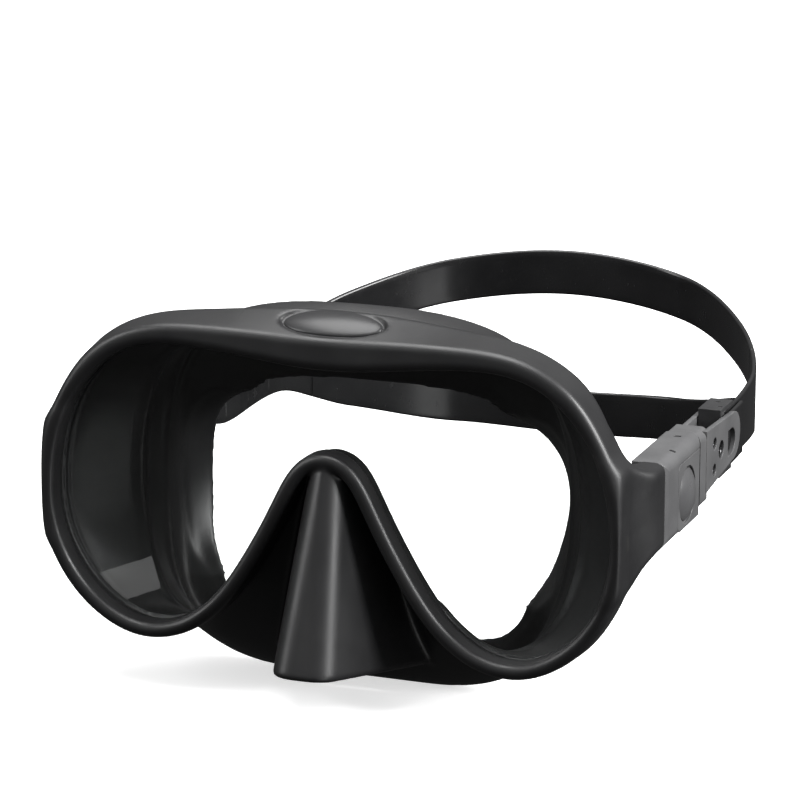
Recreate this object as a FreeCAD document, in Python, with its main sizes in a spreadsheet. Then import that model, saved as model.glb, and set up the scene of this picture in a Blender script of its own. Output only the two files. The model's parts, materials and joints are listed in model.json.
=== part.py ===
import FreeCAD, Part
import os, math
from FreeCAD import Vector, Placement, Rotation

# Single-lens low-volume diving mask with a silicone skirt, quick-release side
# buckles and a split rear strap.
# Frame: origin at the middle of the lens' front glass face, -Y is the direction
# the wearer looks in, +Z is up, +X is the side drawn first; the other side is
# its mirror image. All values are millimetres.

os.makedirs("parts", exist_ok=True)
doc = FreeCAD.newDocument("diving_mask")

# ---------------------------------------------------------------- dimensions
sheet = doc.addObject("Spreadsheet::Sheet", "dims")
rows = [
    ("lens_thickness", 4.5), ("lip_cover", 1.5), ("insert_ring_width", 1.8),
    ("insert_ring_front", 1.0), ("insert_ring_depth", 7.0), ("rim_width", 4.8),
    ("brow_extra", 6.0), ("rim_front", 5.5), ("skirt_wall", 2.2),
    ("fold_depth", 28.0), ("opening_depth", 43.0),
    ("nose_bottom", 42.5), ("nose_front", 23.0), ("nose_wall", 2.0),
    ("datum_rise", 25.0),
    ("badge_half_width", 13.6), ("badge_half_height", 5.6), ("badge_half_depth", 2.0),
    ("arm_outer", 84.5), ("arm_inner", 75.3), ("arm_low", -10.5), ("arm_high", 12.5),
    ("housing_front", 17.0), ("housing_arc_centre", 44.4), ("housing_arc_radius", 5.6),
    ("joint_gap", 0.4), ("housing_round", 3.0), ("tongue_front", 8.0),
    ("tongue_inner", 77.5), ("tongue_outer", 82.0), ("tongue_low", -7.0), ("tongue_high", 9.0),
    ("bezel_thickness", 1.6), ("bezel_front", 28.3), ("bezel_low", -9.1), ("bezel_high", 8.9),
    ("bezel_gap", 0.15), ("bezel_round", 2.2),
    ("button_y", 36.6), ("button_z", -0.6), ("button_radius", 6.9), ("button_recess", 7.5), ("button_play", 0.2),
    ("button_flange_radius", 7.5), ("button_flange_inner", 81.3), ("button_flange_outer", 82.7),
    ("dome_top", 86.4), ("dome_radius", 12.0), ("lock_pin_radius", 2.0), ("neck_radius", 0.9),
    ("lock_pin_end", 77.0), ("lock_pin_shoulder", 78.9), ("web_inner", 79.0), ("web_outer", 79.5),
    ("lens_step", 0.6),
    ("spring_radius", 3.8), ("spring_wire", 0.3), ("spring_pitch", 1.0),
    ("clip_tongue_inner", 77.4), ("clip_tongue_outer", 78.8), ("clip_tongue_low", -4.6),
    ("clip_tongue_high", 3.4), ("clip_tongue_front", 31.5), ("clip_rear", 57.5),
    ("plate_thickness", 1.2), ("plate_rear", 77.0), ("plate_low", -8.5), ("plate_high", 10.5),
    ("cheek_front", 54.0), ("cheek_proud", 0.1), ("core_rear", 63.7),
    ("cheek_low", -5.2), ("cheek_high", 11.6), ("cheek_arc_y", 80.4), ("cheek_arc_z", 4.0), ("cheek_arc_radius", 6.5),
    ("core_low", -4.5), ("core_high", 8.5),
    ("rivet_y", 61.8), ("rivet_upper", 6.4), ("rivet_lower", -0.8),
    ("rivet_head", 1.7), ("rivet_shank", 1.0),
    ("pivot_y", 68.2), ("pivot_z", 3.2), ("pivot_radius", 1.8), ("pivot_head", 2.5),
    ("pivot_play", 0.05), ("carriage_inner", 76.8), ("carriage_outer", 83.0),
    ("lug_radius", 4.0), ("crossbar_front", 72.6), ("crossbar_rear", 74.4),
    ("carriage_rear", 84.5), ("carriage_high", 12.7), ("carriage_low", -6.1), ("carriage_arm", 1.2),
    ("roller_x", 79.85), ("roller_y", 81.2), ("roller_radius", 1.4), ("axle_radius", 0.7),
    ("pawl_x", 81.9), ("pawl_y", 76.2), ("pawl_pin_radius", 0.6),
    ("strap_low", -4.7), ("strap_high", 11.3), ("strap_thickness", 1.4), ("strap_back", 196.5),
    ("branch_height", 15.0), ("upper_branch_z", 17.0), ("lower_branch_z", -24.0),
    ("split_y", 128.0),
]
dim = {}
for i, (alias, value) in enumerate(rows, start=1):
    sheet.set("A%d" % i, alias)
    sheet.set("B%d" % i, str(value))
    sheet.setAlias("B%d" % i, alias)
    dim[alias] = value
doc.recompute()


def bind(obj, prop, expr):
    """Bind a property to an expression on the sheet; bare aliases get the sheet's name."""
    import re
    expr = re.sub(r"[A-Za-z_]+", lambda m: "dims." + m.group(0) if m.group(0) in dim else m.group(0), str(expr))
    obj.setExpression(prop, expr)


def box(name, x0, x1, y0, y1, z0, z1):
    b = doc.addObject("Part::Box", name)
    for axis, lo in (("x", x0), ("y", y0), ("z", z0)):
        bind(b, "Placement.Base." + axis, lo)
    bind(b, "Length", "(%s) - (%s)" % (x1, x0))
    bind(b, "Width", "(%s) - (%s)" % (y1, y0))
    bind(b, "Height", "(%s) - (%s)" % (z1, z0))
    return b


def rod_x(name, radius, x0, x1, y, z):
    """Cylinder along +X."""
    c = doc.addObject("Part::Cylinder", name)
    c.Placement = Placement(Vector(0, 0, 0), Rotation(Vector(0, 1, 0), 90))
    bind(c, "Placement.Base.x", x0)
    bind(c, "Placement.Base.y", y)
    bind(c, "Placement.Base.z", z)
    bind(c, "Radius", radius)
    bind(c, "Height", "(%s) - (%s)" % (x1, x0))
    return c


def rod_z(name, radius, x, y, z0, z1):
    """Cylinder along +Z."""
    c = doc.addObject("Part::Cylinder", name)
    bind(c, "Placement.Base.x", x)
    bind(c, "Placement.Base.y", y)
    bind(c, "Placement.Base.z", z0)
    bind(c, "Radius", radius)
    bind(c, "Height", "(%s) - (%s)" % (z1, z0))
    return c


def fuse(name, *objs):
    f = doc.addObject("Part::MultiFuse", name)
    f.Shapes = list(objs)
    return f


def cut(name, base, *tools):
    tool = tools[0] if len(tools) == 1 else fuse(name + "_tools", *tools)
    c = doc.addObject("Part::Cut", name)
    c.Base = base
    c.Tool = tool
    return c


def common(name, *objs):
    c = doc.addObject("Part::MultiCommon", name)
    c.Shapes = list(objs)
    return c


def fillet(name, base, radius, test, along=None):
    """Round the edges whose two ends both pass the test, and that run along the given axis."""
    doc.recompute()
    edges = []
    for i, e in enumerate(base.Shape.Edges, start=1):
        pts = [v.Point for v in e.Vertexes]
        if len(pts) != 2 or not all(test(p) for p in pts):
            continue
        run = pts[1] - pts[0]
        if along and abs(getattr(run, along)) < 0.99 * run.Length:
            continue
        edges.append((i, radius, radius))
    if not edges:
        raise RuntimeError("no edges for " + name)
    f = doc.addObject("Part::Fillet", name)
    f.Base = base
    f.Edges = edges
    return f


near = lambda a, b: abs(a - b) < 1e-4
NODES = {}


def node(obj, label):
    obj.Label = label
    NODES[label] = obj
    return obj


def mirrored(obj, label):
    m = doc.addObject("Part::Mirroring", label + "_mirror")
    m.Source = obj
    m.Normal = Vector(1, 0, 0)
    m.Base = Vector(0, 0, 0)
    return node(m, label)


def both(obj, stem):
    node(obj, stem + "_left")
    mirrored(obj, stem + "_right")


# ------------------------------------------------------------- lens outline
# Right half of the viewing opening, from the top of the nose notch round the
# lobe to the middle of the brow.
HALF = [(0, 12.8), (3.9, 12.0), (7.4, 9.9), (10.9, 5.6), (14.3, -0.9), (17.9, -8.0),
        (22.1, -15.4), (26.6, -22.6), (31.0, -28.3), (35.6, -32.6), (40.6, -35.9),
        (46.5, -37.8), (52.6, -37.9), (59.0, -35.6), (65.3, -31.1), (70.6, -24.8),
        (74.4, -17.2), (76.2, -9.2), (76.4, -2.2), (75.7, 5.2), (73.9, 12.9),
        (70.9, 19.8), (66.6, 26.0), (61.3, 31.2), (55.0, 35.0), (47.8, 37.0),
        (40.5, 37.4), (33.0, 37.0), (25.5, 36.3), (17.0, 35.3), (8.0, 34.4), (0, 34.1)]
OUTLINE = HALF + [(-x, z) for x, z in HALF[-2:0:-1]]


def offset(outline, amount):
    """Move each outline point outwards by amount (a number or a function of point and normal)."""
    out = []
    count = len(outline)
    for i, (x, z) in enumerate(outline):
        ax, az = outline[i - 1]
        bx, bz = outline[(i + 1) % count]
        dx, dz = bx - ax, bz - az
        norm = math.hypot(dx, dz)
        nx, nz = dz / norm, -dx / norm
        if callable(amount):
            d = amount((x, z), (nx, nz))
        else:
            d = amount[i] if isinstance(amount, list) else amount
        out.append((x + nx * d, z + nz * d))
    return out


def ring_wire(outline, y):
    curve = Part.BSplineCurve()
    curve.interpolate([Vector(x, y, z) for x, z in outline], PeriodicFlag=True)
    return Part.Wire([curve.toShape()])


def slab(outline, y0, y1):
    return Part.Face(ring_wire(outline, y0)).extrude(Vector(0, y1 - y0, 0))


def feature(name, shape, label=None):
    f = doc.addObject("Part::Feature", name)
    f.Shape = shape
    if label:
        node(f, label)
    return f


d = dim
lens_edge = offset(OUTLINE, d["lip_cover"])
# The front face is as large as the viewing opening; the step round it lies under the rim's lip.
lens_face = offset(OUTLINE, -0.05)
glass = slab(lens_edge, d["lens_step"], d["lens_thickness"]).fuse(slab(lens_face, 0.0, d["lens_step"] + 0.5))
feature("LensGlass", glass.removeSplitter(), "lens")
ring_edge = offset(OUTLINE, d["lip_cover"] + d["insert_ring_width"])
ring = slab(ring_edge, -d["insert_ring_front"], d["insert_ring_depth"] - d["insert_ring_front"])
ring = ring.cut(slab(offset(OUTLINE, d["lip_cover"]), d["lens_step"], 40)).cut(slab(offset(OUTLINE, 0.6), -10, 40))
feature("LensFrame", ring, "lens_frame")

# ---------------------------------------------------------------- brow badge
badge = doc.addObject("Part::Ellipsoid", "BadgeBody")
badge.Placement = Placement(Vector(0, -0.6, 46.2), Rotation(Vector(1, 0, 0), 38))
bind(badge, "Radius1", "badge_half_depth")
bind(badge, "Radius2", "badge_half_width")
bind(badge, "Radius3", "badge_half_height")
for prop, value in (("Angle1", -90), ("Angle2", 90), ("Angle3", 360)):
    setattr(badge, prop, value)
node(badge, "brow_badge")

# ------------------------------------------------------------ buckle housing
arc_x = "(arm_outer + arm_inner) / 2"
hb = box("HousingBlock", "arm_inner", "arm_outer", "housing_front", "housing_arc_centre + 8", "arm_low", "arm_high")
hf = fillet("HousingRounded", hb, d["housing_round"],
            lambda p: near(p.x, d["arm_outer"]) and (near(p.z, d["arm_high"]) or near(p.z, d["arm_low"])))
rear_box = box("HousingRearBox", "arm_inner - 2", "arm_outer + 2", "housing_arc_centre", "housing_arc_centre + 12", "arm_low - 1", "arm_high + 1")
rear_rod = rod_z("HousingRearRod", "housing_arc_radius", arc_x, "housing_arc_centre", "arm_low - 2", "arm_high + 2")
rear_tool = cut("HousingRearTool", rear_box, rear_rod)
anchor = box("AnchorPlate", "tongue_inner", "tongue_outer", "tongue_front", "housing_front + 1", "tongue_low", "tongue_high")
housing_solid = fuse("HousingSolid", hf, anchor)
pocket_raw = box("BezelPocketRaw", "arm_outer - bezel_thickness", "arm_outer + 3", "bezel_front - bezel_gap",
                 "housing_arc_centre + 12", "bezel_low - bezel_gap", "bezel_high + bezel_gap")
pocket = fillet("BezelPocket", pocket_raw, d["bezel_round"] + d["bezel_gap"],
                lambda p: near(p.y, d["bezel_front"] - d["bezel_gap"]), along="x")
cavity = rod_x("ButtonCavity", "button_flange_radius + button_play", "web_outer", "arm_outer", "button_y", "button_z")
pin_hole = rod_x("LockPinHole", "lock_pin_radius + button_play", "arm_inner - 1", "arm_outer", "button_y", "button_z")
socket = box("ClipSocket", "clip_tongue_inner - 0.2", "clip_tongue_outer + 0.2", "clip_tongue_front - 0.5",
             "housing_arc_centre + 12", "clip_tongue_low - 0.2", "clip_tongue_high + 0.2")
slot_a = box("SnapSlotFront", "arm_outer - 3.3", "arm_outer - 1.3 - 0.2", "29.4", "30.7", "arm_high - 1.8", "arm_high + 1")
slot_b = box("SnapSlotRear", "arm_outer - 6.1", "arm_outer - 4.1", "43.5", "44.8", "arm_high - 1.8", "arm_high + 1")
key_a = rod_x("AnchorKeyUpper", "1.6", "tongue_inner - 1", "tongue_outer + 1", "12", "5")
key_b = rod_x("AnchorKeyLower", "1.6", "tongue_inner - 1", "tongue_outer + 1", "12", "-3")
housing = cut("Housing", housing_solid, rear_tool, pocket, cavity, pin_hole, socket, slot_a, slot_b, key_a, key_b)
both(housing, "buckle_housing")

# Side panel that closes the housing and guides the release button.
bz_raw = box("BezelRaw", "arm_outer - bezel_thickness", "arm_outer", "bezel_front", "housing_arc_centre + 8", "bezel_low", "bezel_high")
bz_round = fillet("BezelRounded", bz_raw, d["bezel_round"], lambda p: near(p.y, d["bezel_front"]), along="x")
bz_rear_box = box("BezelRearBox", "arm_inner - 2", "arm_outer + 2", "housing_arc_centre", "housing_arc_centre + 12", "arm_low - 1", "arm_high + 1")
bz_rear_rod = rod_z("BezelRearRod", "housing_arc_radius", arc_x, "housing_arc_centre", "arm_low - 2", "arm_high + 2")
bz_rear = cut("BezelRearTool", bz_rear_box, bz_rear_rod)
bz_hole = rod_x("BezelHole", "button_radius + button_play", "arm_outer - 4", "arm_outer + 2", "button_y", "button_z")
bz_recess = rod_x("BezelRecess", "button_recess", "arm_outer - 0.7", "arm_outer + 2", "button_y", "button_z")
bezel = cut("Bezel", bz_round, bz_rear, bz_hole, bz_recess)
both(bezel, "button_bezel")

# Push button: domed cap, hollow behind for its spring, with a stepped lock pin.
cap_rod = rod_x("ButtonCap", "button_radius", "button_flange_inner", "dome_top", "button_y", "button_z")
dome = doc.addObject("Part::Sphere", "ButtonDome")
bind(dome, "Radius", "dome_radius")
bind(dome, "Placement.Base.x", "dome_top - dome_radius")
bind(dome, "Placement.Base.y", "button_y")
bind(dome, "Placement.Base.z", "button_z")
cap = common("ButtonDomedCap", cap_rod, dome)
flange = rod_x("ButtonFlange", "button_flange_radius", "button_flange_inner", "button_flange_outer", "button_y", "button_z")
cap_flange = fuse("ButtonCapFlange", cap, flange)
seat_out = rod_x("SpringSeatOuter", "5.0", "button_flange_inner - 1", "83.7", "button_y", "button_z")
cap_hollow = cut("ButtonHollow", cap_flange, seat_out)
neck = rod_x("ButtonNeck", "neck_radius", "lock_pin_end", "84.2", "button_y", "button_z")
lock = rod_x("ButtonLockPin", "lock_pin_radius", "lock_pin_end", "lock_pin_shoulder", "button_y", "button_z")
button = fuse("Button", cap_hollow, neck, lock)
both(button, "release_button")

# Coil springs between the housing webs and the hollows of the caps, as ruled pipes.
# Both are wound the same way, so the right one is the left one turned half round.
lead = 0.15
run = 83.7 - d["web_outer"] - 2 * d["spring_wire"] - 2 * lead
turns = run / d["spring_pitch"]
steps = int(round(turns * 16))
for side, sx in (("left", 1), ("right", -1)):
    sections = []
    for k in range(steps + 1):
        a = 2 * math.pi * turns * k / steps
        rise = d["spring_pitch"] / (2 * math.pi)
        centre = Vector(sx * (d["web_outer"] + d["spring_wire"] + lead + run * k / steps),
                        d["button_y"] + sx * d["spring_radius"] * math.cos(a), d["button_z"] + d["spring_radius"] * math.sin(a))
        along = Vector(sx * rise, -sx * d["spring_radius"] * math.sin(a), d["spring_radius"] * math.cos(a))
        outward = Vector(0, sx * math.cos(a), math.sin(a))
        upward = along.cross(outward).normalize()
        ring_points = [centre + outward * (d["spring_wire"] * math.cos(math.pi * j / 5)) +
                       upward * (d["spring_wire"] * math.sin(math.pi * j / 5)) for j in range(10)]
        sections.append(Part.makePolygon(ring_points + [ring_points[0]]))
    feature("ButtonSpring" + side.capitalize(), Part.makeLoft(sections, True, True), "button_spring_" + side)

# -------------------------------------------------------------- strap clip
cb = box("ClipBlock", "arm_inner", "arm_outer", "housing_arc_centre + 1", "clip_rear", "plate_low", "arm_high - 0.5")
cf = fillet("ClipRounded", cb, 2.6,
            lambda p: near(p.x, d["arm_outer"]) and (near(p.z, d["arm_high"] - 0.5) or near(p.z, d["plate_low"])))
front_rod = rod_z("ClipFrontHollow", "housing_arc_radius + joint_gap", arc_x, "housing_arc_centre", "arm_low - 5", "arm_high + 5")
cheek_seat = box("CheekSeat", "arm_outer - plate_thickness", "arm_outer + 2", "cheek_front - 0.1", "clip_rear + 1", "cheek_low - 0.1", "cheek_high + 0.1")
clip_block = cut("ClipBlockCut", cf, front_rod, cheek_seat)
clip_tongue = box("ClipTongue", "clip_tongue_inner", "clip_tongue_outer", "clip_tongue_front", "clip_rear - 1", "clip_tongue_low", "clip_tongue_high")
clip_core = box("ClipCore", "carriage_inner - 0.4", "arm_outer - plate_thickness", "clip_rear - 1", "core_rear", "core_low", "core_high")
inner_rect = box("InnerPlateRect", "arm_inner", "arm_inner + plate_thickness", "clip_rear - 1", "plate_rear", "plate_low", "plate_high")
inner_disc_raw = rod_x("InnerPlateDisc", "(plate_high - plate_low) / 2", "arm_inner", "arm_inner + plate_thickness", "plate_rear", "(plate_high + plate_low) / 2")
clip_sum = fuse("ClipSum", clip_block, clip_tongue, clip_core, inner_rect, inner_disc_raw)
lock_hole = rod_x("ClipLockHole", "lock_pin_radius + 0.15", "arm_inner", "arm_outer", "button_y", "button_z")
lock_slot = box("ClipLockSlot", "clip_tongue_inner - 0.1", "clip_tongue_outer + 0.1", "clip_tongue_front - 1", "button_y",
                "button_z - neck_radius - 0.2", "button_z + neck_radius + 0.2")
rivet_hole_a = rod_x("ClipRivetHoleUpper", "rivet_shank", "arm_outer - 4.5", "arm_outer + 1", "rivet_y", "rivet_upper")
rivet_hole_b = rod_x("ClipRivetHoleLower", "rivet_shank", "arm_outer - 4.5", "arm_outer + 1", "rivet_y", "rivet_lower")
pivot_hole_in = rod_x("ClipPivotHole", "pivot_radius", "arm_inner - 1", "arm_inner + 3", "pivot_y", "pivot_z")
clip = cut("Clip", clip_sum, lock_hole, lock_slot, rivet_hole_a, rivet_hole_b, pivot_hole_in)
both(clip, "strap_clip")

# Outer cheek plate: a straight front edge, a half-round rear end, the rivet
# and pivot holes and a D-shaped window over the strap.
body = doc.addObject("PartDesign::Body", "CheekPlateBody")
plane = [f for f in body.Origin.OriginFeatures if f.Role == "YZ_Plane"][0]
sk = body.newObject("Sketcher::SketchObject", "CheekOutline")
sk.AttachmentSupport = [(plane, "")]
sk.MapMode = "FlatFace"
bind(sk, "AttachmentOffset.Base.z", "arm_outer - plate_thickness")
import Sketcher
V = Vector
zl, zh, yf = d["cheek_low"], d["cheek_high"], d["cheek_front"]
ay, az, ar = d["cheek_arc_y"], d["cheek_arc_z"], d["cheek_arc_radius"]


def tangent_angle(z, side):
    """Where the line from the front corner at height z touches the rear arc, as an angle."""
    dy, dz = yf - ay, z - az
    return math.atan2(dz, dy) - side * math.acos(ar / math.hypot(dy, dz))


top_a, low_a = tangent_angle(zh, 1), tangent_angle(zl, -1)
top_p = V(ay + ar * math.cos(top_a), az + ar * math.sin(top_a), 0)
low_p = V(ay + ar * math.cos(low_a), az + ar * math.sin(low_a), 0)
sk.addGeometry(Part.LineSegment(V(yf, zh, 0), V(yf, zl, 0)), False)
sk.addGeometry(Part.LineSegment(V(yf, zl, 0), low_p), False)
sk.addGeometry(Part.ArcOfCircle(Part.Circle(V(ay, az, 0), V(0, 0, 1), ar), low_a, top_a), False)
sk.addGeometry(Part.LineSegment(top_p, V(yf, zh, 0)), False)
sk.addConstraint(Sketcher.Constraint("Coincident", 0, 2, 1, 1))
sk.addConstraint(Sketcher.Constraint("Coincident", 3, 2, 0, 1))
sk.addConstraint(Sketcher.Constraint("Vertical", 0))
sk.addConstraint(Sketcher.Constraint("Tangent", 1, 2, 2, 1))
sk.addConstraint(Sketcher.Constraint("Tangent", 2, 2, 3, 1))
for name, args, expr in (
        ("front", ("DistanceX", -1, 1, 0, 2, yf), "cheek_front"),
        ("height", ("DistanceY", 0, 2, 0, 1, zh - zl), "cheek_high - cheek_low"),
        ("low", ("DistanceY", 0, 2, -1, 1, -zl), "-cheek_low"),
        ("arc_y", ("DistanceX", -1, 1, 2, 3, ay), "cheek_arc_y"),
        ("arc_z", ("DistanceY", -1, 1, 2, 3, az), "cheek_arc_z"),
        ("arc_radius", ("Radius", 2, ar), "cheek_arc_radius")):
    n = sk.addConstraint(Sketcher.Constraint(*args))
    sk.renameConstraint(n, name)
    bind(sk, "Constraints." + name, expr)
doc.recompute()
pad = body.newObject("PartDesign::Pad", "CheekPad")
pad.Profile = sk
bind(pad, "Length", "plate_thickness + cheek_proud")
doc.recompute()
rivet_a = rod_x("CheekRivetUpper", "rivet_head", "arm_outer - 4", "arm_outer + 2", "rivet_y", "rivet_upper")
rivet_b = rod_x("CheekRivetLower", "rivet_head", "arm_outer - 4", "arm_outer + 2", "rivet_y", "rivet_lower")
pivot_c = rod_x("CheekPivotHole", "pivot_head", "arm_outer - 4", "arm_outer + 2", "pivot_y", "pivot_z")
win_box = box("CheekWindowFront", "arm_outer - 4", "arm_outer + 2", "74.8", "78.4", "-0.6", "6.6")
win_rod = rod_x("CheekWindowRear", "3.6", "arm_outer - 4", "arm_outer + 2", "78.4", "3.0")
cheek_cut = cut("CheekPlateCut", body, rivet_a, rivet_b, pivot_c, win_box, win_rod)
cheek = cheek_cut
both(cheek, "cheek_plate")

# Four shouldered rivets hold the cheek plates, two a side.
riv = []
for side_name, zalias in (("Upper", "rivet_upper"), ("Lower", "rivet_lower")):
    head = rod_x("RivetHead" + side_name, "rivet_head", "arm_outer - plate_thickness", "arm_outer - 0.4", "rivet_y", zalias)
    shank = rod_x("RivetShank" + side_name, "rivet_shank", "arm_outer - 4.3", "arm_outer - plate_thickness", "rivet_y", zalias)
    dimple = rod_x("RivetDimple" + side_name, "0.7", "arm_outer - 0.8", "arm_outer + 1", "rivet_y", zalias)
    riv.append(cut("Rivet" + side_name, fuse("RivetSum" + side_name, head, shank), dimple))
riv_right = doc.addObject("Part::Compound", "RivetPair")
riv_right.Links = riv
riv_mirror = doc.addObject("Part::Mirroring", "RivetPairMirror")
riv_mirror.Source = riv_right
riv_mirror.Normal = Vector(1, 0, 0)
rivets = doc.addObject("Part::Compound", "RivetSet")
rivets.Links = [riv_right, riv_mirror]
node(rivets, "cheek_rivets")

# Pivot pin: the axis the strap carriage swings on.
ph = rod_x("PivotHead", "pivot_head", "arm_outer - plate_thickness", "arm_outer - 0.3", "pivot_y", "pivot_z")
ps = rod_x("PivotShank", "pivot_radius", "arm_inner", "arm_outer - plate_thickness", "pivot_y", "pivot_z")
pd = rod_x("PivotDimple", "1.2", "arm_outer - 0.9", "arm_outer + 1", "pivot_y", "pivot_z")
both(cut("PivotPin", fuse("PivotSum", ph, ps), pd), "pivot_pin")

# ---------------------------------------------------------- strap carriage
lug = rod_x("CarriageLug", "lug_radius", "carriage_inner", "carriage_outer", "pivot_y", "pivot_z")
neckb = box("CarriageNeck", "carriage_inner", "carriage_outer", "pivot_y", "crossbar_rear", "pivot_z - 3.6", "pivot_z + 3.6")
bar = box("CarriageCrossbar", "carriage_inner", "carriage_outer", "crossbar_front", "crossbar_rear", "carriage_low", "carriage_high")
arm_t = box("CarriageArmTop", "carriage_inner", "carriage_outer", "crossbar_front", "carriage_rear", "carriage_high - carriage_arm", "carriage_high")
arm_b = box("CarriageArmBottom", "carriage_inner", "carriage_outer", "crossbar_front", "carriage_rear", "carriage_low", "carriage_low + carriage_arm")
csum = fuse("CarriageSum", lug, neckb, bar, arm_t, arm_b)
cp = rod_x("CarriagePivotBore", "pivot_radius + pivot_play", "carriage_inner - 1", "carriage_outer + 1", "pivot_y", "pivot_z")
ca = rod_z("CarriageAxleBore", "axle_radius", "roller_x", "roller_y", "carriage_low - 1", "carriage_high + 1")
cw = rod_z("CarriagePawlBore", "pawl_pin_radius", "pawl_x", "pawl_y", "carriage_low - 1", "carriage_high + 1")
both(cut("Carriage", csum, cp, ca, cw), "strap_carriage")
both(rod_z("RollerAxle", "axle_radius", "roller_x", "roller_y", "carriage_low", "carriage_high"), "roller_axle")
rt = rod_z("RollerTube", "roller_radius", "roller_x", "roller_y", "carriage_low + carriage_arm + 0.2", "carriage_high - carriage_arm - 0.2")
rb = rod_z("RollerBore", "axle_radius + pivot_play", "roller_x", "roller_y", "carriage_low - 1", "carriage_high + 1")
both(cut("Roller", rt, rb), "strap_roller")

# Locking pawl: a toothed lever that bears on the strap where it turns round the roller.
both(rod_z("PawlPin", "pawl_pin_radius", "pawl_x", "pawl_y", "carriage_low", "carriage_high"), "pawl_pin")
pl0, pl1 = "carriage_low + carriage_arm + 0.3", "carriage_high - carriage_arm - 0.3"
lever = box("PawlLever", "77.2", "pawl_x", "pawl_y - 0.8", "pawl_y + 0.8", pl0, pl1)
boss = rod_z("PawlBoss", "pawl_pin_radius + 0.45", "pawl_x", "pawl_y", pl0, pl1)
tooth = box("PawlTooth", "79.3", "80.3", "pawl_y", "roller_y - 3.1", pl0, pl1)
pbore = rod_z("PawlBore", "pawl_pin_radius + pivot_play", "pawl_x", "pawl_y", "carriage_low - 1", "carriage_high + 1")
both(cut("Pawl", fuse("PawlSum", lever, boss, tooth), pbore), "locking_pawl")

# -------------------------------------------------------------------- strap
t2 = d["strap_thickness"] / 2
rx, ry = d["roller_x"], d["roller_y"]
mid = d["roller_radius"] + 0.1 + t2          # radius of the strap's middle surface round the roller
PATH = [(rx - mid, ry), (77.3, 90), (76.3, 103), (75.5, 117), (74.5, 130), (72.4, 143), (68.8, 155),
        (62.8, 166.5), (54, 177.5), (42, 186.5), (28, 192.6), (14, 195.6), (0, d["strap_back"])]
TAIL = [(rx + mid, ry), (81.6, 88), (79.9, 97), (78.6, 107), (77.7, 117.5)]


def path_normals(path):
    out = []
    for i, (x, y) in enumerate(path):
        ax, ay = path[max(i - 1, 0)]
        bx, by = path[min(i + 1, len(path) - 1)]
        n = math.hypot(bx - ax, by - ay)
        out.append(((by - ay) / n, -(bx - ax) / n))
    return out


def band(path, z0, z1, half):
    """A flat band standing on its edge: plan curve thickened by half either side."""
    normals = path_normals(path)
    a = [Vector(x + nx * half, y + ny * half, z0) for (x, y), (nx, ny) in zip(path, normals)]
    b = [Vector(x - nx * half, y - ny * half, z0) for (x, y), (nx, ny) in zip(path, normals)]
    ca_, cb_ = Part.BSplineCurve(), Part.BSplineCurve()
    ca_.interpolate(a)
    cb_.interpolate(b)
    w = Part.Wire([ca_.toShape(), Part.LineSegment(a[-1], b[-1]).toShape(), cb_.toShape(),
                   Part.LineSegment(b[0], a[0]).toShape()])
    return Part.Face(w).extrude(Vector(0, 0, z1 - z0))


zl, zh = d["strap_low"], d["strap_high"]
zmid = (zl + zh) / 2
split = [i for i, p in enumerate(PATH) if p[1] > d["split_y"]][0]
front = band(PATH[:split + 1], zl, zh, t2)
tail = band(TAIL, zl + 0.4, zh - 0.4, t2)
loop = Part.makeCylinder(mid + t2, zh - zl, Vector(rx, ry, zl), Vector(0, 0, 1), 180)
loop = loop.cut(Part.makeCylinder(mid - t2, zh - zl + 2, Vector(rx, ry, zl - 1)))
loop.rotate(Vector(rx, ry, 0), Vector(0, 0, 1), 180)


def branch(z_far, z_start):
    """One rear branch: rectangles on the plan curve that grow and move up or down."""
    half_path = PATH[split - 1:]
    full = half_path + [(-x, y) for x, y in half_path[-2::-1]]
    normals = path_normals(full)
    length = [0.0]
    for p, q in zip(full[:-1], full[1:]):
        length.append(length[-1] + math.hypot(q[0] - p[0], q[1] - p[1]))
    total = length[-1]
    wires = []
    for (x, y), (nx, ny), s in zip(full, normals, length):
        u = min(s, total - s) / (total / 2)
        w = min(1.0, u / 0.55)
        w = w * w * (3 - 2 * w)
        zc = z_start + (z_far - z_start) * w
        grow = min(1.0, u / 0.2)
        hh = (zh - zl) / 4 + (d["branch_height"] / 2 - (zh - zl) / 4) * grow
        pts = [Vector(x + nx * t2, y + ny * t2, zc - hh), Vector(x - nx * t2, y - ny * t2, zc - hh),
               Vector(x - nx * t2, y - ny * t2, zc + hh), Vector(x + nx * t2, y + ny * t2, zc + hh)]
        wires.append(Part.makePolygon(pts + [pts[0]]))
    return Part.makeLoft(wires, True, True)


def flip(shape):
    return shape.mirror(Vector(0, 0, 0), Vector(1, 0, 0))


quarter = (zh - zl) / 4
upper = branch(d["upper_branch_z"], zmid + quarter)
lower = branch(d["lower_branch_z"], zmid - quarter)
strap = front.fuse([tail, loop, flip(front), flip(tail), flip(loop), upper, lower])
feature("StrapBand", strap, "strap")

# -------------------------------------------------------------------- skirt
def brow(point, normal):
    x, z = point
    up = max(0.0, normal[1])
    return d["rim_width"] + d["brow_extra"] * (up ** 2) * math.exp(-(x / 42.0) ** 2) if z > 0 else d["rim_width"]


count = len(OUTLINE)
FOLD_HALF = [(0, -59), (14, -58.6), (27, -56.8), (38, -53), (46.5, -46.5), (52.5, -37), (56, -25), (57.6, -10),
             (57.8, 4), (56, 17), (51, 28), (43, 35.5), (31, 40), (16, 42), (0, 42.6)]


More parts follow.
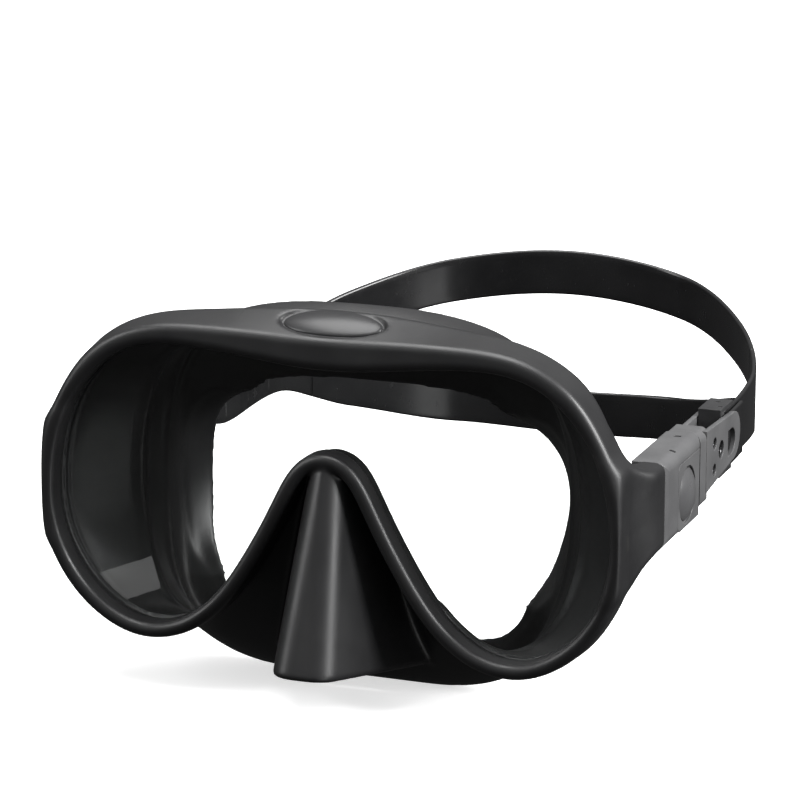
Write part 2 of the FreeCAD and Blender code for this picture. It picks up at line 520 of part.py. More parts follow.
def resample(half, n_half):
    """Evenly spaced points on the mirrored outline, starting at the bottom middle."""
    curve = Part.BSplineCurve()
    pts = half + [(-x, z) for x, z in half[-2:0:-1]]
    curve.interpolate([Vector(x, 0, z) for x, z in pts], PeriodicFlag=True)
    edge = curve.toShape()
    out = [(p.x, p.z) for p in edge.discretize(Number=2 * n_half + 1)[:-1]]
    return out


fold = resample(FOLD_HALF, count // 2)
rim_front = offset(OUTLINE, lambda p, n: brow(p, n) * 0.45)
rim_wide = offset(OUTLINE, brow)
rim_back = offset(OUTLINE, lambda p, n: brow(p, n) * 0.96)


def blend(a, b, u):
    return [(p[0] * (1 - u) + q[0] * u, p[1] * (1 - u) + q[1] * u) for p, q in zip(a, b)]


opening = [(x * 0.905, z * 0.93 - 1.0) for x, z in fold]
outer = Part.makeLoft([ring_wire(rim_front, -d["rim_front"]), ring_wire(rim_wide, -1.5), ring_wire(rim_back, 7.0),
                       ring_wire(blend(rim_back, fold, 0.75), 20.0), ring_wire(fold, d["fold_depth"]),
                       ring_wire(opening, d["opening_depth"])], True, True)
w = d["skirt_wall"]
fold_in = offset(fold, -w)
opening_in = offset(opening, -w)
inner_a = slab(OUTLINE, -d["rim_front"] - 5, 2.0)
mid_out = blend(rim_back, fold, 0.75)
# The steeper the wall leans at a point, the more the inner outline steps in there.
lean = [math.hypot(p[0] - q[0], p[1] - q[1]) / 13.0 for p, q in zip(rim_back, mid_out)]
mid_in = offset(mid_out, [-w * math.hypot(1.0, k) - 0.4 for k in lean])
inner_b = Part.makeLoft([ring_wire(offset(OUTLINE, 0.2), 1.0), ring_wire(offset(OUTLINE, -0.3), 7.0),
                         ring_wire(mid_in, 20.0),
                         ring_wire(fold_in, d["fold_depth"]), ring_wire(opening_in, d["opening_depth"] + 0.5)], True, True)


def nose(shrink, z_low, z_high, y_back):
    """Wedge-shaped nose pocket from level sections, wide and deep at the bottom."""
    wires = []
    for k in range(6):
        u = k / 5.0
        z = z_low + (z_high - z_low) * u
        front_y = -d["nose_front"] + (d["nose_front"] - 3.0) * u ** 0.9 + shrink
        half_front = 7.0 - 4.2 * u - shrink * 0.7
        half_back = 21.0 - 13.5 * u - shrink
        pts = [(-half_front, front_y), (half_front, front_y), (half_back, y_back - 6), (half_back, y_back),
               (-half_back, y_back), (-half_back, y_back - 6)]
        wires.append(Part.makePolygon([Vector(x, y, z) for x, y in pts] + [Vector(pts[0][0], pts[0][1], z)]))
    return Part.makeLoft(wires, True, True)


nose_out = nose(0.0, -d["nose_bottom"], 12.5, 20.0)
nose_in = nose(d["nose_wall"] + 0.4, -d["nose_bottom"] + d["nose_wall"], 5.0, 24.0)
lug_shape = Part.makeBox(d["arm_outer"] - 66.0, d["housing_front"] + 1.0, d["arm_high"] - d["arm_low"],
                         Vector(66.0, -1.0, d["arm_low"]))
lug_shape = lug_shape.makeFillet(3.0, [e for e in lug_shape.Edges
                                       if all(near(v.Point.x, d["arm_outer"]) for v in e.Vertexes)
                                       and near(e.Vertexes[0].Point.z, e.Vertexes[1].Point.z)])
doc.recompute()
skirt = outer.fuse([nose_out, lug_shape, flip(lug_shape)])
skirt = skirt.cut(inner_a).cut(inner_b).cut(nose_in)
skirt = skirt.cut(NODES["lens"].Shape)
skirt = skirt.cut(slab(ring_edge, -d["insert_ring_front"], d["insert_ring_depth"] - d["insert_ring_front"]).cut(
    slab(offset(OUTLINE, 0.6), -10, 40)))
for name in ("buckle_housing_left", "buckle_housing_right", "brow_badge"):
    skirt = skirt.cut(NODES[name].Shape)
solids = sorted(skirt.Solids, key=lambda s: -s.Volume)
print("skirt solids", [round(s.Volume, 1) for s in solids])
feature("SkirtBody", solids[0], "skirt")

# ------------------------------------------------------------------- output
doc.recompute()
bad = [o.Name for o in doc.Objects if any(s in ("Invalid", "Error") for s in o.State)]
if bad:
    raise RuntimeError("failed objects: %s" % bad)
for label, obj in NODES.items():
    s = obj.Shape
    if s.isNull() or not s.isValid():
        raise RuntimeError("bad shape: " + label)
# The row's origin is on the front glass above the nose notch, datum_rise over the drawing's own zero.
for label, obj in NODES.items():
    placed = doc.addObject("Part::Feature", "placed_" + label)
    moved = obj.Shape.copy()
    moved.translate(Vector(0, 0, -d["datum_rise"]))
    placed.Shape = moved
    placed.Shape.exportStep("parts/%s.step" % label)
    bb = obj.Shape.BoundBox
    print("%-22s solids %d vol %9.1f  x %.1f..%.1f y %.1f..%.1f z %.1f..%.1f" % (
        label, len(obj.Shape.Solids), obj.Shape.Volume, bb.XMin, bb.XMax, bb.YMin, bb.YMax, bb.ZMin, bb.ZMax))
print(len(NODES), "nodes")
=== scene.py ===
import json
import math
import time

import bmesh
import bpy
import numpy as np
from mathutils import Matrix, Vector


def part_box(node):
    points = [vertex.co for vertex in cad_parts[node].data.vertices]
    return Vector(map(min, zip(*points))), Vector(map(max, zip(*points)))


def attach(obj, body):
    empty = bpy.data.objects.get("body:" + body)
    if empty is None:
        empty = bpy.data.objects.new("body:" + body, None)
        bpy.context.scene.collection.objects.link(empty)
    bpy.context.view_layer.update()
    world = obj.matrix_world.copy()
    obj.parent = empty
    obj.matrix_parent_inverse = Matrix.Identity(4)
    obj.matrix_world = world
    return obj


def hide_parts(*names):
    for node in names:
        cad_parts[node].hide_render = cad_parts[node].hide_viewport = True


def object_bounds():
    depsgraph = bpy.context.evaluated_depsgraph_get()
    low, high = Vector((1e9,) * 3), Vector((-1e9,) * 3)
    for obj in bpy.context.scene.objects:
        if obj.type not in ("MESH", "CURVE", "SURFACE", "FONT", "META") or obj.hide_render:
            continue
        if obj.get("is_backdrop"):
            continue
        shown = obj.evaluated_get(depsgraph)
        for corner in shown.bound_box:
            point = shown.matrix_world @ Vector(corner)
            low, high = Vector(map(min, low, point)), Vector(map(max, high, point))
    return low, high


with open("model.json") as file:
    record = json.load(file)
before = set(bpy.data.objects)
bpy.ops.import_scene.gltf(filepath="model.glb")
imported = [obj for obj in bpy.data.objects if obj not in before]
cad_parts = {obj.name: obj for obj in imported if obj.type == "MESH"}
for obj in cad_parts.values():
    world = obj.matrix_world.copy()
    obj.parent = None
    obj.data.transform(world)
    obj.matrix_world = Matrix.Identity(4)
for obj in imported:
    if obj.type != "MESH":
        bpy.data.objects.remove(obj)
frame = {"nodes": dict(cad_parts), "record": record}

T0 = time.time()
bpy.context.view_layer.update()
MM = 0.001
RISE = 25.0  # the drawing below has its zero this far under the row origin
nodes = frame["nodes"]


# --------------------------------------------------------------------------
# curves and distances (all millimetres until a mesh is made)
# --------------------------------------------------------------------------
def closed_curve(points, count=480, soften=2.0):
    """A smooth closed curve through a list of points, evenly resampled."""
    p = np.array(points, float)
    n = len(p)
    dense = []
    for i in range(n):
        p0, p1, p2, p3 = p[i - 1], p[i], p[(i + 1) % n], p[(i + 2) % n]
        for t in np.linspace(0, 1, 24, endpoint=False):
            dense.append(0.5 * ((2 * p1) + (-p0 + p2) * t + (2 * p0 - 5 * p1 + 4 * p2 - p3) * t * t
                                + (-p0 + 3 * p1 - 3 * p2 + p3) * t ** 3))
    dense = np.array(dense)
    seg = np.linalg.norm(np.roll(dense, -1, 0) - dense, axis=1)
    s = np.concatenate([[0], np.cumsum(seg)])
    t = np.linspace(0, s[-1], count, endpoint=False)
    closed = np.vstack([dense, dense[:1]])
    out = np.stack([np.interp(t, s, closed[:, k]) for k in (0, 1)], 1)
    if soften:
        r = int(4 * soften)
        w = np.exp(-0.5 * (np.arange(-r, r + 1) / soften) ** 2)
        w /= w.sum()
        acc = np.zeros_like(out)
        for k, wk in zip(range(-r, r + 1), w):
            acc += wk * np.roll(out, k, 0)
        out = acc
    return out


def signed_distance(curve, gx, gz):
    """Signed distance to a closed curve on a grid of (x, z); negative inside."""
    q = np.stack([gx.ravel(), gz.ravel()], 1)
    a = curve
    b = np.roll(curve, -1, 0)
    best = np.full(len(q), 1e9)
    inside = np.zeros(len(q), bool)
    for k in range(len(a)):
        d = b[k] - a[k]
        t = np.clip(((q - a[k]) @ d) / max(d @ d, 1e-12), 0, 1)
        r = q - a[k] - t[:, None] * d
        best = np.minimum(best, r[:, 0] ** 2 + r[:, 1] ** 2)
        cross = (a[k, 1] > q[:, 1]) != (b[k, 1] > q[:, 1])
        if abs(d[1]) > 1e-12:
            xi = a[k, 0] + (q[:, 1] - a[k, 1]) * d[0] / d[1]
            inside ^= cross & (q[:, 0] < xi)
    out = np.sqrt(best)
    out[inside] *= -1
    return out.reshape(gx.shape)


def smin(a, b, k):
    h = np.clip(0.5 + 0.5 * (b - a) / k, 0, 1)
    return b * (1 - h) + a * h - k * h * (1 - h)


def smax(a, b, k):
    return -smin(-a, -b, k)


def smooth01(t):
    t = np.clip(t, 0, 1)
    return t * t * (3 - 2 * t)


def surface_net(field, origin, step):
    """Quad mesh of the field's zero level. Returns vertices (mm) and quads."""
    inside = field < 0
    nx, ny, nz = field.shape
    corner = [(i, j, k) for i in (0, 1) for j in (0, 1) for k in (0, 1)]
    count = np.zeros((nx - 1, ny - 1, nz - 1), np.int8)
    for i, j, k in corner:
        count += inside[i:nx - 1 + i, j:ny - 1 + j, k:nz - 1 + k]
    ci, cj, ck = np.nonzero((count > 0) & (count < 8))
    index = np.full(count.shape, -1, np.int64)
    index[ci, cj, ck] = np.arange(len(ci))
    vals = {c: field[ci + c[0], cj + c[1], ck + c[2]] for c in corner}
    total = np.zeros((len(ci), 3))
    hits = np.zeros(len(ci))
    for a in corner:
        for axis in range(3):
            if a[axis]:
                continue
            b = list(a)
            b[axis] = 1
            va, vb = vals[a], vals[tuple(b)]
            m = (va < 0) != (vb < 0)
            t = np.where(m, va / np.where(va - vb == 0, 1, va - vb), 0)
            p = np.tile(np.array(a, float), (len(ci), 1))
            p[:, axis] = t
            total += p * m[:, None]
            hits += m
    verts = np.stack([ci, cj, ck], 1) + total / hits[:, None]
    verts = np.array(origin) + verts * step
    quads = []
    for axis in range(3):
        sl_a = [slice(None)] * 3
        sl_b = [slice(None)] * 3
        sl_a[axis] = slice(0, -1)
        sl_b[axis] = slice(1, None)
        ia, ib = inside[tuple(sl_a)], inside[tuple(sl_b)]
        e = np.array(np.nonzero(ia != ib)).T
        o1, o2 = [(1, 2), (2, 0), (0, 1)][axis]
        ok = (e[:, o1] > 0) & (e[:, o2] > 0) & (e[:, o1] < field.shape[o1] - 1) & (e[:, o2] < field.shape[o2] - 1)
        e = e[ok]

        def cell(d1, d2):
            c = e.copy()
            c[:, o1] += d1
            c[:, o2] += d2
            return index[c[:, 0], c[:, 1], c[:, 2]]
        q = np.stack([cell(-1, -1), cell(0, -1), cell(0, 0), cell(-1, 0)], 1)
        flip = ~ia[tuple(e.T)]
        q[flip] = q[flip][:, ::-1]
        quads.append(q)
    return verts, np.concatenate(quads)


def sample(field, origin, step, pts):
    """Trilinear sample of the field at points."""
    g = (pts - np.array(origin)) / step
    g = np.clip(g, 0, np.array(field.shape) - 1.001)
    i = g.astype(int)
    f = g - i
    out = 0
    for a in (0, 1):
        for b in (0, 1):
            for c in (0, 1):
                w = (f[:, 0] if a else 1 - f[:, 0]) * (f[:, 1] if b else 1 - f[:, 1]) * (f[:, 2] if c else 1 - f[:, 2])
                out = out + w * field[i[:, 0] + a, i[:, 1] + b, i[:, 2] + c]
    return out


def relax(verts, quads, field, origin, step, rounds):
    """Evens the net out and puts its points back on the zero level."""
    n = len(verts)
    pairs = np.concatenate([quads[:, [0, 1]], quads[:, [1, 2]], quads[:, [2, 3]], quads[:, [3, 0]]])
    pairs = np.concatenate([pairs, pairs[:, ::-1]])
    deg = np.bincount(pairs[:, 0], minlength=n)
    e = step * 0.5
    for r in range(rounds):
        mean = np.stack([np.bincount(pairs[:, 0], weights=verts[pairs[:, 1], k], minlength=n) for k in range(3)], 1)
        mean /= deg[:, None]
        verts = verts + 0.6 * (mean - verts)
        f = sample(field, origin, step, verts)
        g = np.stack([sample(field, origin, step, verts + d) - sample(field, origin, step, verts - d)
                      for d in (np.array([e, 0, 0]), np.array([0, e, 0]), np.array([0, 0, e]))], 1) / (2 * e)
        g2 = np.maximum((g ** 2).sum(1), 0.05)
        verts = verts - np.clip(f / g2, -0.5 * step, 0.5 * step)[:, None] * g * 0.8
    return verts


def soften(verts, quads, weight, rounds):
    """Evens out the skin where weight is above zero."""
    q = np.asarray(quads)
    a = np.concatenate([q[:, 0], q[:, 1], q[:, 2], q[:, 3]])
    b = np.concatenate([q[:, 1], q[:, 2], q[:, 3], q[:, 0]])
    v = np.array(verts, float)
    count = np.bincount(a, minlength=len(v)) + np.bincount(b, minlength=len(v))
    for _ in range(rounds):
        mean = np.empty_like(v)
        for k in range(3):
            mean[:, k] = (np.bincount(a, v[b, k], len(v)) + np.bincount(b, v[a, k], len(v))) / np.maximum(count, 1)
        v += (mean - v) * (0.55 * weight)[:, None]
    return v


def mesh_object(name, verts, faces, smooth=True):
    """verts in millimetres."""
    me = bpy.data.meshes.new(name)
    me.from_pydata(((np.asarray(verts, float) - (0, 0, RISE)) * MM).tolist(), [], [list(map(int, f)) for f in faces])
    me.validate()
    me.update()
    if smooth:
        me.shade_smooth()
    ob = bpy.data.objects.new(name, me)
    bpy.context.scene.collection.objects.link(ob)
    return ob


# --------------------------------------------------------------------------
# outlines of the mask
# --------------------------------------------------------------------------
HALF = [(0, 12.8), (3.9, 12.0), (7.4, 9.9), (10.9, 5.6), (14.3, -0.9), (17.9, -8.0),
        (22.1, -15.4), (26.6, -22.6), (31.0, -28.3), (35.6, -32.6), (40.6, -35.9),
        (46.5, -37.8), (52.6, -37.9), (59.0, -35.6), (65.3, -31.1), (70.6, -24.8),
        (74.4, -17.2), (76.2, -9.2), (76.4, -2.2), (75.7, 5.2), (73.9, 12.9),
        (70.9, 19.8), (66.6, 26.0), (61.3, 31.2), (55.0, 35.0), (47.8, 37.0),
        (40.5, 37.4), (33.0, 37.0), (25.5, 36.3), (17.0, 35.3), (8.0, 34.4), (0, 34.1)]
FOLD = [(0, -56.2), (14.5, -56.2), (24, -56.0), (33, -54.6), (40, -52.0), (46, -48.0), (51.0, -41.5), (54.6, -33),
        (57.0, -22), (58, -9), (57.9, 3), (56.6, 14), (53.6, 24), (48.8, 32), (41.3, 38.4), (34, 41.7), (26, 43.7),
        (17, 44.9), (8, 45.3), (0, 45.4)]
EDGE = [(0, -49.0), (14, -49.0), (24, -48.8), (33, -48.0), (39, -46.0), (43.5, -42.0), (46.8, -36.6), (50.8, -27),
        (52.8, -16), (53.4, -6), (52.4, 3), (50.4, 10), (47.4, 16), (42.5, 22), (37, 26.2), (30, 29.0), (22, 30.8),
        (12, 31.6), (0, 31.8)]


BADGE_Y, BADGE_Z, BADGE_TILT = 2.2, 45.5, math.radians(62)
BADGE_A, BADGE_B = 13.4, 4.9


def both_sides(half):
    return half + [(-x, z) for x, z in half[-2:0:-1]]


LENS = closed_curve(both_sides(HALF), 520, 2.2)
FOLD_C = closed_curve(both_sides(FOLD), 420, 3.0)
EDGE_C = closed_curve(both_sides(EDGE), 420, 3.0)


def build_skirt():
    step = 0.55
    xs = np.arange(0.5, math.ceil(92 / step)) * step
    ys = np.arange(-26.5, 48.5, step)
    zs = np.arange(-64.0, 54.0, step)
    gx, gz = np.meshgrid(xs, zs, indexing="ij")
    d_lens = signed_distance(LENS, gx, gz)
    d_fold = signed_distance(FOLD_C, gx, gz)
    d_edge = signed_distance(EDGE_C, gx, gz)
    X = xs[:, None, None]
    Y = ys[None, :, None]
    Z = zs[None, None, :]
    dl, df, de = (d[:, None, :] for d in (d_lens, d_fold, d_edge))

    # rim: a rounded section in the (distance from lens edge, depth) plane, deep over the brow
    up = smooth01((gz - 20) / 17)
    beta = (up * (0.20 + 0.80 * np.exp(-(gx / 33.0) ** 2)))[:, None, :]
    low = smooth01((-22 - gz) / 14)[:, None, :]
    r0 = 2.12 + 0.3 * beta
    width = 4.25 + 9.15 * beta + 0.45 * low
    corner = [(r0, -5.5 + r0), (r0 + 4.0 * beta, -5.5 + r0 + 0.5 * beta),
              (width - r0, 3.2 + 3.9 * beta), (r0, 4.2 + 0 * beta)]
    near_ = None
    turn = []
    for k in range(4):
        (ax, ay), (bx, by) = corner[k], corner[(k + 1) % 4]
        dx, dy = bx - ax, by - ay
        t = np.clip(((dl - ax) * dx + (Y - ay) * dy) / np.maximum(dx * dx + dy * dy, 1e-6), 0, 1)
        d2 = (dl - ax - t * dx) ** 2 + (Y - ay - t * dy) ** 2
        near_ = d2 if near_ is None else np.minimum(near_, d2)
        turn.append(dx * (Y - ay) - dy * (dl - ax))
    within = (turn[0] > 0) & (turn[1] > 0) & (turn[2] > 0) & (turn[3] > 0)
    near_ = np.sqrt(near_)
    rim = np.where(within, -near_, near_) - r0

    # main wall: lens outline -> fold -> turned-in sealing edge, deepest at the temples
    away = np.abs(Z + 6)
    deep = 1.0 / (1.0 + 0.0005 * away ** 2)
    y_fold = 28.0 - 4.0 * smooth01((-12 - Z) / 30) - 2.0 * smooth01((Z - 12) / 26) + 0 * X
    y_edge = np.maximum(43.0 * deep, y_fold + 6.0) + 0 * X
    t1 = np.clip((Y - 5.0) / (y_fold - 5.0), 0, 1)
    t1 = 0.45 * t1 + 0.55 * smooth01(t1)
    t2 = np.clip((Y - y_fold) / (y_edge - y_fold), 0, 1.25) ** 1.6
    wall = ((dl - 2.7) * (1 - t1) + df * t1) * (1 - t2) + de * t2
    wall = wall.astype(np.float32)
    gxx, gyy, gzz = np.gradient(wall, step)
    body = wall / np.maximum(np.sqrt(gxx ** 2 + gyy ** 2 + gzz ** 2), 0.6)
    thick = 2.1 + 0.5 * smooth01((Y - y_fold) / 9.0)

    # nose pocket: a wedge with rounded front corners and a flat floor
    slope = math.atan2(18.0, 52.0)
    front = ((-(Y + 23.0)) * math.cos(slope) + (Z + 42.0) * math.sin(slope)) + 0 * X
    side = (X - 7.1) * 0.929 - (Y + 23.0) * 0.321 + (Z + 42.3) * 0.183
    floor_ = (-42.7 - 0.13 * (Y + 23) - Z) + 0 * X
    top = (Z - 13.0) * 0.8 - (Y + 4) * 0.2 + 0 * X
    wedge = smax(front, side, 4.6)
    wedge = smax(wedge, floor_, 1.7)
    wedge = smax(wedge, top, 3.0)
    wedge = smax(wedge, Y - 17.0 + 0 * X + 0 * Z, 2.0)
    cav = smax(smax(front + 2.0, side + 2.0, 3.0), floor_ + 2.0, 2.0)
    cav = smax(cav, (Z - 6.0) + 0 * X + 0 * Y, 2.0)
    cav = smax(cav, Y - 20.0 + 0 * X + 0 * Z, 2.0)

    # side lugs that run from the rim back to the hard housings
    ly = smooth01((Y + 1.0) / 14.0)
    half_h = 14.0 - 2.4 * ly
    cz = -0.8 + 1.8 * ly
    x_in = 70.0 + 5.4 * smooth01((Y - 4) / 13.0)
    x_out = 80.6 + 3.95 * smooth01((Y + 1.5) / 13.5)
    lz = np.abs(Z - cz) - half_h
    lx = np.maximum(x_in - X, X - x_out)
    rr = 3.1
    ex = np.maximum(lx + rr, 0)
    ez = np.maximum(lz + rr, 0)
    lug = np.sqrt(ex ** 2 + ez ** 2) + np.minimum(np.maximum(lx, lz) + rr, 0) - rr
    lug = smax(lug, Y - 18.2 + 0 * X + 0 * Z, 1.4)
    lug = smax(lug, -(Y + 1.0) + 0 * X + 0 * Z, 3.0)

    out = smax(body, 3.0 - Y + 0 * body, 0.5)
    out = smin(out, wedge, 1.5)
    out = smin(out, rim, 0.9)
    out = smin(out, lug, 7.0)
    out = smax(out, X - (79.7 + 4.8 * smooth01((Y - 1.0) / 12.0)) + 0 * Z, 1.2)
    sides = smooth01((np.abs(X) - 26) / 14)
    ridge = (0.9 * np.exp(-((Y - y_fold + 9.0) / 1.0) ** 2) + 0.8 * np.exp(-((Y - y_fold + 3.2) / 0.8) ** 2)
             + 0.6 * np.exp(-((Y - y_fold - 3.6) / 0.9) ** 2)) * sides
    inner = smax(body + thick + ridge, 5.2 - Y + 0 * body, 0.6)
    inner = smin(inner, cav, 2.5)
    notch = (1 - smooth01((X - 24) / 8)) * (1 - smooth01((Z - 13) / 8))
    back = smooth01((Y - 3.6) / 0.9) * (0.6 + notch * (1.05 + 0.45 * np.maximum(Y - 4.5, 0)))
    view = smax(dl - back, Y - 6.0 - 4.0 * notch, 0.5)
    inner = np.minimum(inner, view)
    solid = smax(out, -inner, 0.5)
    solid = smax(solid, Y - y_edge - 0.4, 0.7)
    # a shallow oval seat for the brow badge
    ca, sa = math.cos(BADGE_TILT), math.sin(BADGE_TILT)
    by_, bz_ = Y - BADGE_Y, Z - BADGE_Z
    bn = -by_ * ca + bz_ * sa
    bv = by_ * sa + bz_ * ca
    oval = np.sqrt((X / (BADGE_A + 0.9)) ** 2 + (bv / (BADGE_B + 0.9)) ** 2) - 1.0
    seat = smax(oval * BADGE_B, np.abs(bn) - 5.0, 0.3)
    flush = smax(seat, -(bn + 0.4 + 0.0035 * X ** 2), 0.4)
    solid = smax(solid, -flush, 0.5)
    # room for the glass, with the step under the lip
    solid = np.maximum(solid, -np.maximum(dl - 1.52, np.maximum(0.55 - Y, Y - 4.52)))
    full = np.concatenate([solid[::-1], solid]).astype(np.float32)
    origin = (-xs[-1], ys[0], zs[0])
    verts, quads = surface_net(full, origin, step)
    verts = relax(verts, quads, full, origin, step, 9)
    return verts, quads


v, q = build_skirt()
print("skirt net", len(v), len(q), round(time.time() - T0, 1), "s")
v = np.asarray(v, float)
v = soften(v, q, smooth01((v[:, 1] - 20.0) / 5.0), 14)
skirt = mesh_object("silicone_skirt", v, q)
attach(skirt, "mask")
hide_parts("skirt")

# --------------------------------------------------------------------------
# strap
# --------------------------------------------------------------------------
def spline(keys, values, at):
    """Natural cubic through (keys, values)."""
    k = np.array(keys, float)
    v = np.array(values, float)
    n = len(k)
    h = np.diff(k)
    m = np.zeros((n, n))
    rhs = np.zeros(n)
    m[0, 0] = m[-1, -1] = 1
    for i in range(1, n - 1):
        m[i, i - 1], m[i, i], m[i, i + 1] = h[i - 1], 2 * (h[i - 1] + h[i]), h[i]
        rhs[i] = 6 * ((v[i + 1] - v[i]) / h[i] - (v[i] - v[i - 1]) / h[i - 1])
    c = np.linalg.solve(m, rhs)
    at = np.asarray(at, float)
    j = np.clip(np.searchsorted(k, at) - 1, 0, n - 2)
    dx = at - k[j]
    hj = h[j]
    return (v[j] + dx * ((v[j + 1] - v[j]) / hj - hj * (2 * c[j] + c[j + 1]) / 6)
            + dx ** 2 * c[j] / 2 + dx ** 3 * (c[j + 1] - c[j]) / (6 * hj))


def monotone(keys, values, at):
    k = np.array(keys, float)
    v = np.array(values, float)
    d = np.diff(v) / np.diff(k)
    m = np.zeros(len(k))
    for i in range(1, len(k) - 1):
        m[i] = 0 if d[i - 1] * d[i] <= 0 else 2 * d[i - 1] * d[i] / (d[i - 1] + d[i])
    m[0] = 0
    m[-1] = d[-1]
    at = np.asarray(at, float)
    j = np.clip(np.searchsorted(k, at) - 1, 0, len(k) - 2)
    h = k[j + 1] - k[j]
    t = (at - k[j]) / h
    return ((2 * t ** 3 - 3 * t ** 2 + 1) * v[j] + (t ** 3 - 2 * t ** 2 + t) * h * m[j]
            + (-2 * t ** 3 + 3 * t ** 2) * v[j + 1] + (t ** 3 - t ** 2) * h * m[j + 1])


strap_box = [[c * 1000 for c in p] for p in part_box("strap_carriage_left")]
roller_box = [[c * 1000 for c in p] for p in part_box("strap_roller_left")]
RX = (roller_box[0][0] + roller_box[1][0]) / 2
RY = (roller_box[0][1] + roller_box[1][1]) / 2
RZ = (roller_box[0][2] + roller_box[1][2]) / 2 + RISE
MID = 2.2
A_KEYS = [-1.0, -0.8, -0.6, -0.4, -0.2, 0.0, 0.2, 0.4, 0.6, 0.8, 1.0]
HX = [0, 35.7, 60.8, 73.3, 74.2, RX - MID]
HY = [196.4, 191.8, 167.2, 137.9, 104.3, RY]
ZU = [17.7, 13.9, 7.2, 0.07, -1.07, RZ]
ZL = [-25.8, -23.9, -15.3, -5.75, -8.4, RZ]
H_BRANCH, H_BAND, THICK = 13.6, 15.9, 1.4
SPLIT = 0.505


def strap_rows():
    n = 481
    s = np.linspace(-1, 1, n)
    a = np.abs(s)
    kx = [-v for v in HX[:0:-1]] + HX
    ky = HY[:0:-1] + HY
    x = spline(A_KEYS, kx, s)
    y = spline(A_KEYS, ky, s)
    x = x + 1.9 * (1 - np.clip(s, 0, 1)) * smooth01((1 - a) / 0.35)
    ka = A_KEYS[5:]
    lean = 0.26 * x / 75 * smooth01((1 - a) / 0.3)
    zu = monotone(ka, ZU, a) + lean
    zl = monotone(ka, ZL, a) + lean
    return s, a, x, y, zu, zl


def plan_normals(x, y):
    dx, dy = np.gradient(x), np.gradient(y)
    n = np.hypot(dx, dy)
    return np.stack([dy / n, -dx / n], 1)


def band_mesh(x, y, z0, z1, thick, closed_ends=True, ribs=None, across=9):
    """A flat band standing on edge, with rounded long edges; ribs is the rib height on its -normal face."""
    nrm = plan_normals(x, y)
    r = thick / 2
    ring = []
    arc = np.linspace(-90, 90, 7)
    flat = np.linspace(0, 1, across)[1:-1]
    # profile in (offset, height): up the outer face, over the top, down the inner face, under the bottom
    prof = [(1.0, "lo", 0.0)]
    pts = []
    for f in np.linspace(0, 1, across):
        pts.append((r, f, 0.0))
    for ang in (30, 60, 90, 120, 150):
        pts.append((r * math.cos(math.radians(ang)), 1.0, r * math.sin(math.radians(ang))))
    for f in np.linspace(1, 0, across):
        pts.append((-r, f, 0.0))
    for ang in (210, 240, 270, 300, 330):
        pts.append((r * math.cos(math.radians(ang)), 0.0, r * math.sin(math.radians(ang))))
    verts = []
    m = len(pts)
    for i in range(len(x)):
        for off, f, e in pts:
            o = off
            if ribs is not None and off >= r - 1e-6:
                z = z0[i] + r + f * (z1[i] - z0[i] - 2 * r)
                edge = min(z - z0[i], z1[i] - z)
                o = off + ribs[i] * float(smooth01((edge - 1.3) / 0.35))
            z = z0[i] + r + f * (z1[i] - z0[i] - 2 * r) + e
            verts.append((x[i] + nrm[i, 0] * o, y[i] + nrm[i, 1] * o, z))
    faces = []
    for i in range(len(x) - 1):
        for k in range(m):
            k2 = (k + 1) % m
            faces.append((i * m + k, i * m + k2, (i + 1) * m + k2, (i + 1) * m + k))
    if closed_ends:
        faces.append(tuple(range(m))[::-1])
        faces.append(tuple((len(x) - 1) * m + k for k in range(m)))
    return np.array(verts), faces


def join_meshes(parts):
    verts, faces, base = [], [], 0
    for v, f in parts:
        verts.append(np.asarray(v))
        faces += [tuple(base + i for i in face) for face in f]
        base += len(v)
    return np.concatenate(verts), faces


